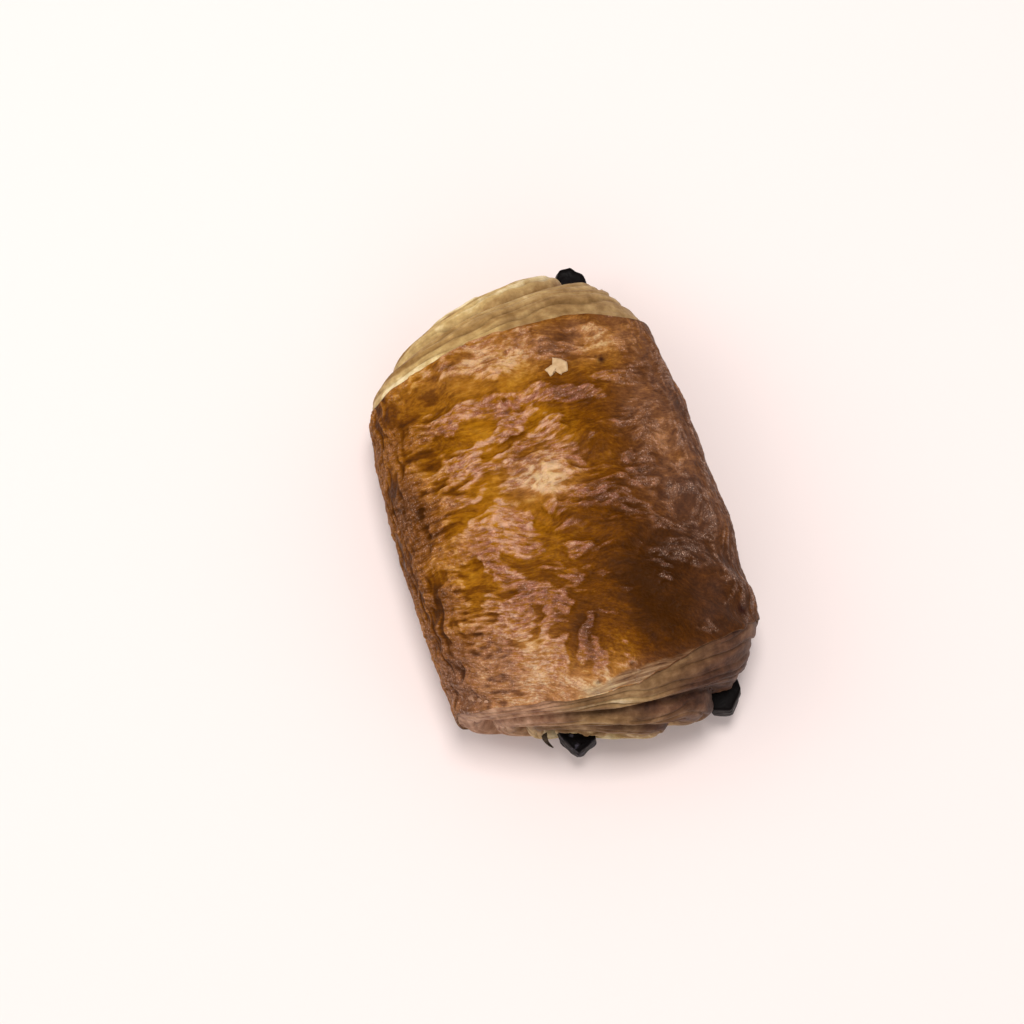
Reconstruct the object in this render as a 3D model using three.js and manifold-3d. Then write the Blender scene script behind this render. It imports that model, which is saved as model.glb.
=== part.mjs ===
// Pain au chocolat: one sheet of laminated dough rolled round two chocolate sticks and baked.
// The roll lies along Y on its flat, sealed base, with +Z up. Its near end is at -Y and its far end at +Y.
// Both ends bulge and show the coiled sheet edge on, and the stick tips poke out low down.
// Sizes are in millimetres, and angles are in radians about the roll, from +X towards +Z.
import * as THREE from "three";
import { mergeVertices } from "three/addons/utils/BufferGeometryUtils.js";
import Module from "manifold-3d";

// Driving dimensions of the roll
const WIDTH = 71;
const HEIGHT = 43;
const WAIST = 18; // height of the widest line
const CROWN_FULLNESS = 2.35; // superellipse powers: 2 is an ellipse, more is squarer
const BASE_FULLNESS = 4.2;
const BASE_SAG = 0.5; // how far the dough would sag below the tray that keeps it flat

// Each end: where the crust stops at the sides, crown and base, how far the coils bulge past it and at
// which x, how late the face turns from its rim to the bulge on either side, and how the section shrinks
const NEAR_END = {
  side: -32.8,
  crown: -40.5,
  base: -41,
  bulge: -49.8,
  bulgeX: 9,
  leftTurn: 1.2,
  rightTurn: 3.1,
  narrowing: 0.02,
  lowering: 0.1,
};
const FAR_END = {
  side: 35,
  crown: 40,
  base: 43,
  bulge: 54.8,
  bulgeX: 8,
  leftTurn: 2.1,
  rightTurn: 3.1,
  narrowing: 0.075,
  lowering: 0.07,
};
const EDGE_SWEEP = 1.5; // how late the crust's edge sweeps from the sides to the crown
const TAPER_POWER = 2; // how late the section shrinks towards an end
const BULGE_HEIGHT = 16; // height of the point that bulges most
const BULGE_DRIFT = 1.5; // how late the bulge's level lines shift towards that point

// The coil: the seam between one turn and the next winds in from the base to the first stick
const TURN_PITCH = 0.25; // share of the roll's radius that one turn takes
const TAIL_THICKNESS = 0.6; // of a turn, where the sheet's outer end is sealed under the roll
const CORE_DRIFT = 1.6; // how late the inner turns shift towards the first stick
const SEAM_DEPTH = 2.8;
const SEAM_WIDTH = 0.2; // of a turn
const LEAF_BUNDLES = 2; // that each turn opens into
const LEAF_RELIEF = 0.5;
const RELIEF_FADE = 8; // the relief dies out over an eighth of the way to the rim and to the core

// The crust's folds, which waves over the crust bend and let come and go.
// A wave has its crests so far apart along x and along y, and a phase.
const FOLD_RELIEF = 0.42;
const FOLD_PITCH = 10;
const FOLDS_START = 14; // height on the flanks above which the crust folds
const FAR_LEAN = 0.2; // how far along the roll a fold runs for each unit across it
const NEAR_LEAN = 1;
const LEAN_FROM = 10; // y where the lean starts to grow towards the near end
const LEAN_RUN = 50;
const BENDS = [
  { shift: 5, wave: [119, 560, 0.8] },
  { shift: 2.2, wave: [69, 63, 0] },
  { shift: 0.9, wave: [-37, 47, 2.1] },
];
const PATCHES = [
  [82, Infinity, 1.7],
  [-210, 94, 0.4],
];

// The sealed edge under the base
const BASE_SEAM_DEPTH = 1.1;
const BASE_SEAM_WIDTH = 2.2;

// The two chocolate sticks: x at either end, y of either tip, and how far the tips slump
const STICK_HEIGHT = 6;
const STICK_WIDTH = 7.6;
const STICK_LEVEL = 11; // height of the sticks' middle
const STICKS = {
  chocolate_left: { nearX: -10.3, farX: -14.1, nearY: -48.8, farY: 53.8, slump: 1.0 },
  chocolate_right: { nearX: 23.3, farX: 19.8, nearY: -50.2, farY: 58.2, slump: 0.5 },
};
const STICK_SQUARENESS = 5;
const TIP_LENGTH = 3; // the rounded stretch at each tip
const TIP_TAPER = 0.28; // share of the section lost at the very tip
const TUNNEL_GAP = 0.3;
const TUNNEL_OVERRUN = 8;

// Facets
const AROUND = 70;
const FACE_RINGS = 20;
const CRUST_RINGS = 26;
const STICK_AROUND = 16;
const STICK_RINGS = 30;
const GIRTH_STEPS = 2880; // that the girth is measured in
const SETTLING_ROUNDS = 14; // that shareOut takes to settle
const MERGE_WITHIN = 1e-4;

const HALF_TURN = Math.PI;
const FULL_TURN = 2 * Math.PI;
const BASE_ANGLE = -HALF_TURN / 2;
const mix = (a, b, share) => a + (b - a) * share;
const clamp01 = (value) => Math.min(1, Math.max(0, value));
const count = (length) => [...Array(length).keys()];
const wave = (x, y, [alongX, alongY, phase]) => Math.sin(FULL_TURN * (x / alongX + y / alongY) + phase);

// Distance from the roll's middle line to its skin, in the widest section
function skinRadius(angle) {
  const above = Math.sin(angle) >= 0;
  const rise = above ? HEIGHT - WAIST : WAIST + BASE_SAG;
  const power = above ? CROWN_FULLNESS : BASE_FULLNESS;
  const sideways = Math.abs(Math.cos(angle)) / (WIDTH / 2);
  const upright = Math.abs(Math.sin(angle)) / rise;
  return (sideways ** power + upright ** power) ** (-1 / power);
}

// Angles that share the skin's girth out evenly, clockwise from the base's middle
function evenAngles(parts) {
  const angles = count(GIRTH_STEPS + 1).map((i) => BASE_ANGLE - (FULL_TURN * i) / GIRTH_STEPS);
  const points = angles.map((a) => [skinRadius(a) * Math.cos(a), skinRadius(a) * Math.sin(a)]);
  const girth = [0];
  for (let i = 1; i <= GIRTH_STEPS; i++) {
    girth.push(girth[i - 1] + Math.hypot(points[i][0] - points[i - 1][0], points[i][1] - points[i - 1][1]));
  }
  let next = 0;
  return count(parts + 1).map((i) => {
    const wanted = (girth[GIRTH_STEPS] * i) / parts;
    while (next < GIRTH_STEPS && girth[next] < wanted) next++;
    return angles[next];
  });
}

// Where the crust stops, along the roll, at this angle round an end
function crustEdge(end, angle) {
  const upright = Math.abs(Math.sin(angle)) ** EDGE_SWEEP;
  return mix(end.side, Math.sin(angle) >= 0 ? end.crown : end.base, upright);
}

// The roll's section gets lower and narrower from its middle, at 0, to the edge of the crust, at 1
function sectionScale(end, share) {
  const taper = Math.abs(share) ** TAPER_POWER;
  return { x: 1 - end.narrowing * taper, z: 1 - end.lowering * taper };
}

// A point of the section as an angle and a share of the way from a core out to the skin.
// Lines of equal share are shrunken copies of the skin, whose middle shifts to the core as they shrink.
function shareOut(x, z, coreX, coreZ, drift) {
  let share = 1;
  let angle = 0;
  for (let i = 0; i < SETTLING_ROUNDS; i++) {
    const inwards = (1 - Math.min(share, 1)) ** drift;
    const dx = x - coreX * inwards;
    const dz = z - mix(WAIST, coreZ, inwards);
    angle = Math.atan2(dz, dx);
    share = Math.hypot(dx, dz) / skinRadius(angle);
  }
  return { share, angle };
}

// How far the sheet's edge stands out of an end's even bulge: a groove along the seam between turns,
// and ridges of leaves. The seam winds clockwise from the base, in towards the first stick.
function coilRelief(share, angle) {
  const turns = (BASE_ANGLE - angle) / FULL_TURN;
  const wound = turns - Math.floor(turns);
  const firstSeam = 1 - TURN_PITCH * (wound + TAIL_THICKNESS);
  const outermost = share >= firstSeam;
  const across = outermost ? (1 - share) / (1 - firstSeam) : ((firstSeam - share) / TURN_PITCH) % 1;
  const toSeam = outermost ? 1 - across : Math.min(across, 1 - across);
  const groove = SEAM_DEPTH * Math.exp(-((toSeam / SEAM_WIDTH) ** 2));
  return LEAF_RELIEF * Math.cos(LEAF_BUNDLES * FULL_TURN * across) - groove;
}

// The crust's folds run across the far half, and lean over and steepen towards the near end
function foldRelief(x, y, z) {
  const lean = mix(FAR_LEAN, NEAR_LEAN, clamp01((LEAN_FROM - y) / LEAN_RUN));
  const bent = BENDS.reduce((sum, bend) => sum + bend.shift * wave(x, y, bend.wave), y + lean * x);
  const patches = PATCHES.reduce((product, patch) => product * wave(x, y, patch), 1);
  const fold = Math.sin((FULL_TURN * bent) / FOLD_PITCH);
  return FOLD_RELIEF * fold * (1 + patches) * clamp01((z - FOLDS_START) / FOLDS_START);
}

// A closed skin made from a sphere: place(column, ring) gives each point, from the first pole to the last
function moulded(around, rings, place) {
  const skin = new THREE.SphereGeometry(1, around, rings);
  const position = skin.getAttribute("position");
  const columns = around + 1;
  for (let i = 0; i < position.count; i++) {
    position.setXYZ(i, ...place((i % columns) % around, Math.floor(i / columns)));
  }
  skin.deleteAttribute("normal");
  skin.deleteAttribute("uv");
  return mergeVertices(skin, MERGE_WITHIN);
}

// A point of an end's face: share is 1 at the rim and 0 at the coil's core
function facePoint(end, angle, share) {
  const coreX = end === NEAR_END ? STICKS.chocolate_left.nearX : STICKS.chocolate_left.farX;
  const inwards = (1 - share) ** CORE_DRIFT;
  const x = coreX * inwards + share * skinRadius(angle) * Math.cos(angle);
  const z = mix(WAIST, STICK_LEVEL, inwards) + share * skinRadius(angle) * Math.sin(angle);
  const bulge = shareOut(x, z, end.bulgeX, BULGE_HEIGHT, BULGE_DRIFT);
  const turn = mix(end.leftTurn, end.rightTurn, (1 + Math.cos(bulge.angle)) / 2);
  const even = mix(end.bulge, crustEdge(end, bulge.angle), Math.min(1, bulge.share) ** turn);
  const fade = clamp01((1 - share) * RELIEF_FADE) * clamp01(share * RELIEF_FADE);
  const scale = sectionScale(end, 1);
  return [
    x * scale.x,
    even + Math.sign(end.bulge) * fade * coilRelief(share, angle),
    Math.max(0, WAIST + (z - WAIST) * (z > WAIST ? scale.z : 1)),
  ];
}

// A point of the crust: along is 1 where it stops at the far end, and -1 at the near one
function crustPoint(angle, along) {
  const end = along > 0 ? FAR_END : NEAR_END;
  const scale = sectionScale(end, along);
  const y = Math.abs(along) * crustEdge(end, angle);
  const x = skinRadius(angle) * Math.cos(angle) * scale.x;
  const rise = skinRadius(angle) * Math.sin(angle) * (Math.sin(angle) > 0 ? scale.z : 1);
  const swell = 1 + foldRelief(x, y, WAIST + rise) / skinRadius(angle);
  const baseSeam = rise < 0 ? BASE_SEAM_DEPTH * Math.exp(-((x / BASE_SEAM_WIDTH) ** 2)) : 0;
  return [x * swell, y, Math.max(0, WAIST + rise * swell) + baseSeam];
}

// Rings run from the far end's core, over the crust, to the near end's core
function doughPoint(angle, ring) {
  const lastRing = FACE_RINGS * 2 + CRUST_RINGS;
  if (ring < FACE_RINGS) return facePoint(FAR_END, angle, ring / FACE_RINGS);
  if (lastRing - ring < FACE_RINGS) return facePoint(NEAR_END, angle, (lastRing - ring) / FACE_RINGS);
  return crustPoint(angle, 1 - (2 * (ring - FACE_RINGS)) / CRUST_RINGS);
}

// A straight bar of chocolate from its far tip to its near tip. Its tips are rounded and slump a little,
// and a larger one with square ends cuts the tunnel that it lies in.
function stickSkin(stick, grow, overrun, rounded) {
  return moulded(STICK_AROUND, STICK_RINGS, (column, ring) => {
    const spread = (ring - 1) / (STICK_RINGS - 2);
    const y = mix(stick.farY + overrun, stick.nearY - overrun, clamp01(spread));
    const toTip = Math.min(stick.farY - y, y - stick.nearY);
    const inTip = rounded ? clamp01(1 - toTip / TIP_LENGTH) : 0;
    const girth = ring === 0 || ring === STICK_RINGS ? 0 : 1 - TIP_TAPER * inTip ** 2;
    const angle = (-FULL_TURN * column) / STICK_AROUND;
    const sideways = Math.cos(angle);
    const upright = Math.sin(angle);
    const blunt = Math.abs(sideways) ** STICK_SQUARENESS + Math.abs(upright) ** STICK_SQUARENESS;
    const reach = girth * blunt ** (-1 / STICK_SQUARENESS);
    const along = (y - stick.nearY) / (stick.farY - stick.nearY);
    return [
      mix(stick.nearX, stick.farX, along) + reach * sideways * (STICK_WIDTH / 2 + grow),
      y,
      STICK_LEVEL + reach * upright * (STICK_HEIGHT / 2 + grow) - stick.slump * inTip ** 2,
    ];
  });
}

const wasm = await Module();
wasm.setup();

function toSolid(geometry) {
  return new wasm.Manifold(
    new wasm.Mesh({
      numProp: 3,
      vertProperties: geometry.getAttribute("position").array,
      triVerts: new Uint32Array(geometry.index.array),
    }),
  );
}

function toGeometry(solid) {
  const mesh = solid.getMesh();
  return new THREE.BufferGeometry()
    .setAttribute("position", new THREE.BufferAttribute(mesh.vertProperties, mesh.numProp))
    .setIndex(new THREE.BufferAttribute(mesh.triVerts, 1));
}

function piece(name, geometry, colour, roughness) {
  geometry.computeVertexNormals();
  const material = new THREE.MeshStandardMaterial({ color: colour, roughness, metalness: 0 });
  const mesh = new THREE.Mesh(geometry, material);
  mesh.name = name;
  return mesh;
}

const angles = evenAngles(AROUND);
const rings = FACE_RINGS * 2 + CRUST_RINGS;
const dough = moulded(AROUND, rings, (column, ring) => doughPoint(angles[column], ring));
let rolled = toSolid(dough);
for (const stick of Object.values(STICKS)) {
  rolled = rolled.subtract(toSolid(stickSkin(stick, TUNNEL_GAP, TUNNEL_OVERRUN, false)));
}

const pastry = new THREE.Group();
pastry.name = "pain_au_chocolat";
pastry.add(piece("pastry", toGeometry(rolled), 0x9a6332, 0.45));
for (const [name, stick] of Object.entries(STICKS)) {
  pastry.add(piece(name, stickSkin(stick, 0, 0, true), 0x211a1c, 0.4));
}

// The frame's origin is under the middle of the whole
const extent = new THREE.Box3().setFromObject(pastry, true);
const middle = extent.getCenter(new THREE.Vector3());
pastry.position.set(-middle.x, -middle.y, -extent.min.z);

export default pastry;
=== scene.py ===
# Pain au chocolat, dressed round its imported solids: an egg-washed crust, two ends where the coiled sheet
# shows edge on, the chocolate sticks that poke out of them, a pale scrap and a scorched splinter.
# Shapes are worked out in millimetres in the roll's own frame: Y along the roll, +Z up, near end at -Y.
# Angles are in radians about the roll, from +X towards +Z. placed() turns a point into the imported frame's
# metres. A place on the girth is in millimetres from the crown's middle line, above 0 on the right flank.
import math
from functools import partial
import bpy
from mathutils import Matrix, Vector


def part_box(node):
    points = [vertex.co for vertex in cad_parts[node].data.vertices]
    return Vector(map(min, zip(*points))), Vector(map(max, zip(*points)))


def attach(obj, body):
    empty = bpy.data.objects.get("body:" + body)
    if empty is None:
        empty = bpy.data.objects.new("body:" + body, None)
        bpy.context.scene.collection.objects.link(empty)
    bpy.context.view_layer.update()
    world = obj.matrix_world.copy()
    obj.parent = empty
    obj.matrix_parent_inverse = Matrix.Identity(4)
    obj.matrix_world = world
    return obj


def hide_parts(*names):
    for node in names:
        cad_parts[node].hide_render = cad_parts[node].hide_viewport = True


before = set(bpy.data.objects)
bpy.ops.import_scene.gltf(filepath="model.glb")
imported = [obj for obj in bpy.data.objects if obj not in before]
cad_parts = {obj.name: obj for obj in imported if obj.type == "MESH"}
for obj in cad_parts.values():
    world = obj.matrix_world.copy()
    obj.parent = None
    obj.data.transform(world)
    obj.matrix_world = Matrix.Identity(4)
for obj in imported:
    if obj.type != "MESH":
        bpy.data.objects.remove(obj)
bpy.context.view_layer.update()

from types import SimpleNamespace

import bpy
import numpy as np

MM = 0.001

# Driving dimensions of the roll
WIDTH = 71
HEIGHT = 43
WAIST = 18
CROWN_FULLNESS = 2.35
BASE_FULLNESS = 4.2
BASE_SAG = 0.5
# Each end: the way it faces, where the crust stops at its sides, crown and base, how far out its face
# bulges and where, how sharply the face turns away to the left and right, the shares by which the roll
# gets narrower and lower there, and where the coil's core lies. Then how baked its leaves are, at the near
# end darker partly as painted shade, how much less so deep in the coil, and how dark the lines between them.
# Last, its first layer of noise.
NEAR_END = dict(
    way=-1,
    side=-32.8,
    crown=-40.5,
    base=-41,
    bulge=-49.8,
    bulge_x=9,
    left_turn=1.2,
    right_turn=3.1,
    narrowing=0.02,
    lowering=0.1,
    core_x=-10.3,
    baked=0.74,
    less_inside=0.45,
    lines=0.6,
    layer=50,
)
FAR_END = dict(
    way=1,
    side=35,
    crown=40,
    base=43,
    bulge=54.8,
    bulge_x=8,
    left_turn=2.1,
    right_turn=3.1,
    narrowing=0.075,
    lowering=0.07,
    core_x=-14.1,
    baked=0.08,
    less_inside=0,
    lines=1,
    layer=70,
)
EDGE_SWEEP = 1.5
TAPER_POWER = 2
BULGE_HEIGHT = 16
BULGE_DRIFT = 1.5

# The coil
TURN_PITCH = 0.25
TAIL_THICKNESS = 0.6
CORE_DRIFT = 1.6
SEAM_DEPTH = 2.2
SEAM_WIDTH = 0.16

# The crust's folds
FOLD_RELIEF = 0.42
FOLD_PITCH = 10
FOLDS_START = 14
FAR_LEAN = 0.2
NEAR_LEAN = 1
LEAN_FROM = 10
LEAN_RUN = 50
# How far each bend shifts the folds, and its wave; then the waves that make patches of higher folds
BENDS = ((5, (119, 560, 0.8)), (2.2, (69, 63, 0)), (0.9, (-37, 47, 2.1)))
PATCHES = ((82, math.inf, 1.7), (-210, 94, 0.4))
BASE_SEAM_DEPTH = 1.1
BASE_SEAM_WIDTH = 2.2

# The sticks
STICK_HEIGHT = 6
STICK_WIDTH = 7.6
STICK_LEVEL = 11
STICKS = {
    "chocolate_left": dict(near_x=-10.3, far_x=-14.1, near_y=-48.8, far_y=53.8),
    "chocolate_right": dict(near_x=23.3, far_x=19.8, near_y=-50.2, far_y=58.2),
}

# Grids of the new pieces
CRUST_COLUMNS = 400
CRUST_ROWS = 226
FACE_COLUMNS = 440
FACE_ROWS = 150
BASE_SHARE = 0.2  # of the usual density of columns, under the base
BASE_FROM = 0.97  # of the waist, down from it
GIRTH_STEPS = 2880
SETTLING_ROUNDS = 14

TURN = 2 * math.pi
BASE_ANGLE = -math.pi / 2


def roll_middle():
    """The roll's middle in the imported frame, in millimetres. A stick's box has the stick's own middle."""
    low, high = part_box("chocolate_right")
    stick = STICKS["chocolate_right"]
    x = (low.x + high.x) / 2 / MM - (stick["near_x"] + stick["far_x"]) / 2
    y = (low.y + high.y) / 2 / MM - (stick["near_y"] + stick["far_y"]) / 2
    return np.array([x, y, 0.0])


MIDDLE = roll_middle()


def placed(points):
    return (points + MIDDLE) * MM


def mix(a, b, share):
    return a + (b - a) * share


def smooth(low, high, value):
    share = np.clip((value - low) / (high - low), 0, 1)
    return share * share * (3 - 2 * share)


def hump(distance, reach):
    """1 in the middle, and next to nothing at twice the reach."""
    return np.exp(-((distance / reach) ** 2))


def wave(x, y, along_x, along_y, phase):
    return np.sin(TURN * (x / along_x + y / along_y) + phase)


# Smooth noise from about -1 to 1, on a lattice of random slopes one unit apart
LATTICE = 256
SLOPES = np.random.default_rng(7).random((LATTICE, LATTICE)) * TURN
LAYER_STEP = (17.3, 41.9)  # how far apart two layers of noise are read


def noise(u, v, layer=0):
    u, v = u + LAYER_STEP[0] * layer, v + LAYER_STEP[1] * layer
    column, row = np.floor(u).astype(int), np.floor(v).astype(int)
    across, up = u - column, v - row

    def corner(right, top):
        slope = SLOPES[(column + right) % LATTICE, (row + top) % LATTICE]
        return np.cos(slope) * (across - right) + np.sin(slope) * (up - top)

    def ease(share):
        return share**3 * (share * (share * 6 - 15) + 10)

    low = mix(corner(0, 0), corner(1, 0), ease(across))
    high = mix(corner(0, 1), corner(1, 1), ease(across))
    return 1.5 * mix(low, high, ease(up))


def ripple(place, pitch, layer):
    """Noise along one line."""
    return noise(place / pitch, np.zeros_like(place), layer)


# The form of the roll
def skin_radius(angle):
    above = np.sin(angle) >= 0
    rise = np.where(above, HEIGHT - WAIST, WAIST + BASE_SAG)
    power = np.where(above, CROWN_FULLNESS, BASE_FULLNESS)
    sideways = np.abs(np.cos(angle)) / (WIDTH / 2)
    upright = np.abs(np.sin(angle)) / rise
    return (sideways**power + upright**power) ** (-1 / power)


def spread_angles(columns):
    """Angles that share the girth out, clockwise from the base's middle, and their places on the girth."""
    angles = BASE_ANGLE - TURN * np.arange(GIRTH_STEPS + 1) / GIRTH_STEPS
    radius = skin_radius(angles)
    x, z = radius * np.cos(angles), radius * np.sin(angles)
    steps = np.hypot(np.diff(x), np.diff(z))
    under = z[1:] < -WAIST * BASE_FROM
    weight = np.concatenate([[0], np.cumsum(steps * np.where(under, BASE_SHARE, 1))])
    length = np.concatenate([[0], np.cumsum(steps)])
    wanted = np.linspace(0, weight[-1], columns, endpoint=False)
    return np.interp(wanted, weight, angles), np.interp(wanted, weight, length) - length[-1] / 2


def crust_edge(end, angle):
    upright = np.abs(np.sin(angle)) ** EDGE_SWEEP
    return mix(end["side"], np.where(np.sin(angle) >= 0, end["crown"], end["base"]), upright)


def lean_at(y):
    return mix(FAR_LEAN, NEAR_LEAN, np.clip((LEAN_FROM - y) / LEAN_RUN, 0, 1))


def fold_relief(x, y, z):
    bent = y + lean_at(y) * x + sum(shift * wave(x, y, *bend) for shift, bend in BENDS)
    patches = np.prod([wave(x, y, *patch) for patch in PATCHES], axis=0)
    height = FOLD_RELIEF * (1 + patches) * np.clip(z / FOLDS_START - 1, 0, 1)
    return height * np.sin(TURN * bent / FOLD_PITCH)


def share_out(x, z, core_x, core_z, drift):
    """How far out each point lies, from 0 at the core to 1 at the skin, and its angle about the roll."""
    share = np.ones_like(x)
    for _ in range(SETTLING_ROUNDS):
        inwards = (1 - np.minimum(share, 1)) ** drift
        dx = x - core_x * inwards
        dz = z - mix(WAIST, core_z, inwards)
        angle = np.arctan2(dz, dx)
        share = np.hypot(dx, dz) / skin_radius(angle)
    return share, angle


def normals_of(grid):
    """Unit normals of a grid whose columns close up: outward if those run clockwise and the rows to +Y."""
    across = np.roll(grid, -1, axis=1) - np.roll(grid, 1, axis=1)
    along = np.gradient(grid, axis=0)
    normal = np.cross(across, along)
    return normal / np.maximum(np.linalg.norm(normal, axis=2, keepdims=True), 1e-9)


# What the oven did to the crust, and painted shade and highlight, at places on the photographed roll.
# A spot is x, y, its reach along x and along y, and its strength.
def spot(x, y, place):
    at_x, at_y, reach_x, reach_y, strength = place
    return strength * hump(x - at_x, reach_x) * hump(y - at_y, reach_y)


def spots(x, y, places):
    return sum(spot(x, y, place) for place in places)


# Where the crust is blistered, above 0, or smooth with pooled egg wash, below 0
BLISTERED = (
    (12, -29, 14, 8, -0.9),
    (6, -10, 6, 9, -0.3),
    (23, -3, 6, 15, 0.32),
    (22, -30, 5, 5, 0.25),
    (-13, -3.5, 6.5, 5.5, 0.6),
    (4, 12.5, 5, 3, 0.35),
    (-2, 7, 5, 4, 0.4),
    (-24, -30, 12, 9, 0.4),
    (3, 34, 20, 3, 0.4),
    (-21, 31, 7, 4, -0.35),
    (22, -17, 6, 3, 0.3),
    (24, 14, 4, 6, 0.3),
)
# Where the crust is browner, above 0, or lighter, below 0, than its side of the roll.
# Partly this is painted shade, as at the darker lower right.
DARK = (
    (18, -27, 16, 12, 0.3),
    (11, -25, 9, 7, 0.25),
    (8, -16, 12, 12, 0.26),
    (-6, -14, 14, 10, 0.12),
    (-4, -25, 5, 5, 0.32),
    (-24, -34, 12, 9, 0.1),
    (-32, 0, 6, 30, 0.12),
    (-16, 29, 9, 5, 0.16),
    (-30, 14, 5, 16, 0.15),
    (22, 31, 9, 7, -0.3),
    (20, -14, 8, 7, 0.12),
)
# Where it is dry and chalky, and on the crown a painted highlight in the chalky colours
DUSTY_AND_HIGHLIGHT = (
    (4, 35, 20, 4.5, 0.6),
    (20, 33, 9, 5, 0.45),
    (30, 20, 7, 12, 0.5),
    (-24, -35, 14, 12, 1.0),
    (33, -4, 10, 28, 0.8),
    (24, -3, 7, 13, 0.6),
    (23, 16, 5, 7, 0.5),
    (24, -30, 5, 7, 0.55),
    (-6, -38, 9, 4, 0.5),
    # A painted highlight on the crown, in the chalky colours
    (-2, 7, 6, 4.5, 0.95),
)
# Small charred spots
CHARS = (
    (18.4, 28.0, 0.9, 0.9, 1.0),
    (30.6, -31.6, 0.8, 1.3, 1.0),
    (3.5, -36.6, 0.5, 0.5, 0.7),
    (-4.3, -38.3, 0.8, 0.5, 0.8),
    (14.1, 34.8, 0.5, 0.5, 0.7),
    (-13.5, 36.4, 1.6, 0.4, 0.6),
)
CHAR_DEPTH = 0.3
# A corner with more of the painted rosy sheen
ROSY_CORNER = (-25, -28, 14, 12, 0.5)
FLAT_CORNER = (-20, -35, 16, 10, 1.0)  # its wrinkles are lower
# A painted highlight on the crown
CROWN_HIGHLIGHT = (-2, 7, 5.5, 4, 0.8)
BARE_LINE = -38.4  # nearer than this the egg wash missed the crown

# Ridges, above 0, and valleys, below 0: a bent line's points, its half width and its strength
STROKES = (
    (((-18, 24), (-12, 25), (-6, 24.5), (3, 24.5), (9, 23.5), (15, 20)), 2.4, 0.7),
    (((-17, 15.7), (-10.7, 17.7), (-3.4, 18.4), (3.3, 17.6), (8, 18.2)), 1.6, 0.5),
    (((14, 24.6), (18, 24.4), (21, 22.7)), 1.2, 0.7),
    (((-19, -5.8), (-12.4, -14), (-6.9, -18.6)), 1.9, 0.7),
    (((-26, 7.6), (-25, 1.8)), 1.9, 0.6),
    (((-18.6, -20.4), (-11.3, -16.8), (-6.9, -17.5)), 2.0, 0.7),
    (((-11.8, -23.7), (-8.8, -19.9)), 1.3, 0.9),
    (((-11.9, -28.7), (-6.5, -26.9)), 1.5, 0.9),
    (((-6.5, -22.2), (-4.1, -21.5)), 1.1, 0.6),
    (((-4.4, -26.7), (-1.7, -24.9)), 0.9, 1.2),
    (((-4.7, -27.4), (-5.3, -31.4), (-6.3, -33)), 0.8, 1.1),
    (((-2.7, -28.8), (-1.9, -31), (-3, -36)), 1.2, 0.8),
    (((-27.3, -6.5), (-25.6, -8.9)), 1.4, 0.6),
    (((-30.1, -8.2), (-27.4, -12.3)), 1.6, 0.5),
    (((-28, 19), (-30, 9), (-32, 0), (-33, -8)), 0.9, 0.5),
    (((-25, 14), (-27, 6), (-28.5, -2)), 0.8, 0.45),
    (
        ((-24, 31.5), (-19, 31.7), (-11.9, 30.8), (-4.8, 28.5), (1.4, 28.3), (5.7, 28.3), (11.2, 25.5)),
        2.2,
        -1.0,
    ),
    (((5.7, 28.3), (11.2, 26), (17.2, 22.2), (24, 18.9)), 1.5, -0.7),
    (((-13.4, 22), (-9.4, 20.4)), 1.8, -1.1),
    (((-11.9, 14.9), (-3.6, 16.2), (1.2, 19.6)), 0.9, -0.9),
    (((6.7, 17.2), (14, 17.4)), 1.7, -1.0),
    (((2.5, 22), (6.4, 20.3)), 0.8, -0.7),
    (((-21.1, 20.9), (-14.3, 19.8)), 1.4, -0.8),
    (((-24.3, 1.4), (-20.4, 4.3), (-15.5, 4.9), (-13.4, 6.6)), 1.3, -0.9),
    (((-8.7, 4), (-5.6, 2.9), (-5.4, -0.8), (-4.6, -3.8), (-3.8, -9.4), (-1.7, -7)), 1.4, -0.9),
    (((-15.4, -6.9), (-13.4, -9.7), (-9.1, -13.2), (-5.9, -16.3)), 1.2, -1.2),
    (((-20.4, -6.6), (-19.7, -10), (-23.6, -10.4), (-23.8, -13.2)), 1.8, -0.8),
    (((-32.3, -7.2), (-30.1, -6.7), (-27.7, -6.5)), 1.1, -0.7),
    (((-10, -25.5), (-5.6, -25.6), (-2.8, -22.2)), 1.1, -1.3),
    (((-6.2, -27.2), (-8.1, -34.4)), 1.1, -1.1),
    (((-12, -19), (-11.8, -21.6), (-13.7, -24.2)), 0.9, -0.9),
)
STROKE_WANDER = 0.9
STROKE_FRAY = 0.35


def stroke_field(x, y):
    """How far the strokes raise or sink the crust at each place, from about -1 to 1."""
    x = x + STROKE_WANDER * noise(x / 5, y / 5, 30) + STROKE_FRAY * noise(x / 1.9, y / 1.9, 31)
    y = y + STROKE_WANDER * noise(x / 5, y / 5, 32) + STROKE_FRAY * noise(x / 1.9, y / 1.9, 33)
    total = np.zeros_like(x)
    for line, width, strength in STROKES:
        nearest = np.full_like(x, np.inf)
        for (x0, y0), (x1, y1) in zip(line, line[1:]):
            run_x, run_y = x1 - x0, y1 - y0
            share = np.clip(((x - x0) * run_x + (y - y0) * run_y) / (run_x**2 + run_y**2), 0, 1)
            nearest = np.minimum(nearest, np.hypot(x - x0 - share * run_x, y - y0 - share * run_y))
        total += strength * hump(nearest, width)
    return np.clip(total, -1.3, 1.2)


# The wrinkles, from coarse to fine: their length, their pitch and their height
WRINKLES = ((16, 5.2, 0.4), (8, 2.6, 0.42), (3.6, 1.25, 0.42))
CRINKLE = (3.0, 1.15)  # length and pitch

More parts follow.
